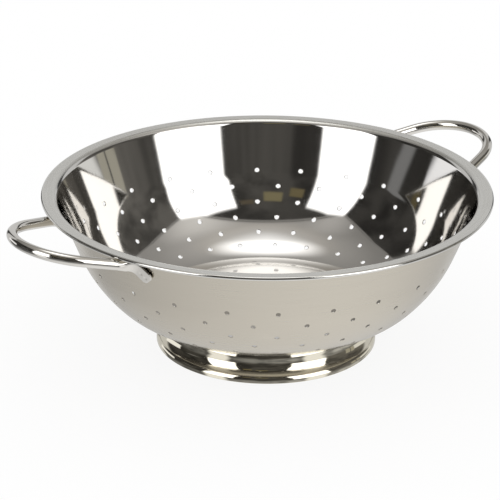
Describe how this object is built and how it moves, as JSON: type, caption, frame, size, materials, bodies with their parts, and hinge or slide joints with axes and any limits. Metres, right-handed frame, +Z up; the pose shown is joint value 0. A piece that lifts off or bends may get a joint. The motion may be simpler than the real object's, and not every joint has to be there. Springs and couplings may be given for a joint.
{
  "type": "colander",
  "caption": "Round steel colander: perforated bowl with a wide curled rim, two bent tube loop handles and a flared foot ring.",
  "frame": {"origin": "middle of the foot's underside, on the surface that the colander stands on", "axes": "+Z up along the bowl's axis, +X along the two handles towards handle_right"},
  "size_m": [0.3788, 0.3, 0.1141],
  "materials": {
    "bowl_steel": "mirror polished inside, satin outside and on the flange",
    "foot_steel": "polished",
    "handle_steel": "polished",
    "weld_steel": "dull spot weld"
  },
  "bodies": {
    "root": {"bowl": "bowl_steel", "foot_ring": "foot_steel", "foot_welds": "weld_steel", "handle_left": "handle_steel", "handle_right": "handle_steel", "handle_welds": "weld_steel"}
  },
  "joints": []
}
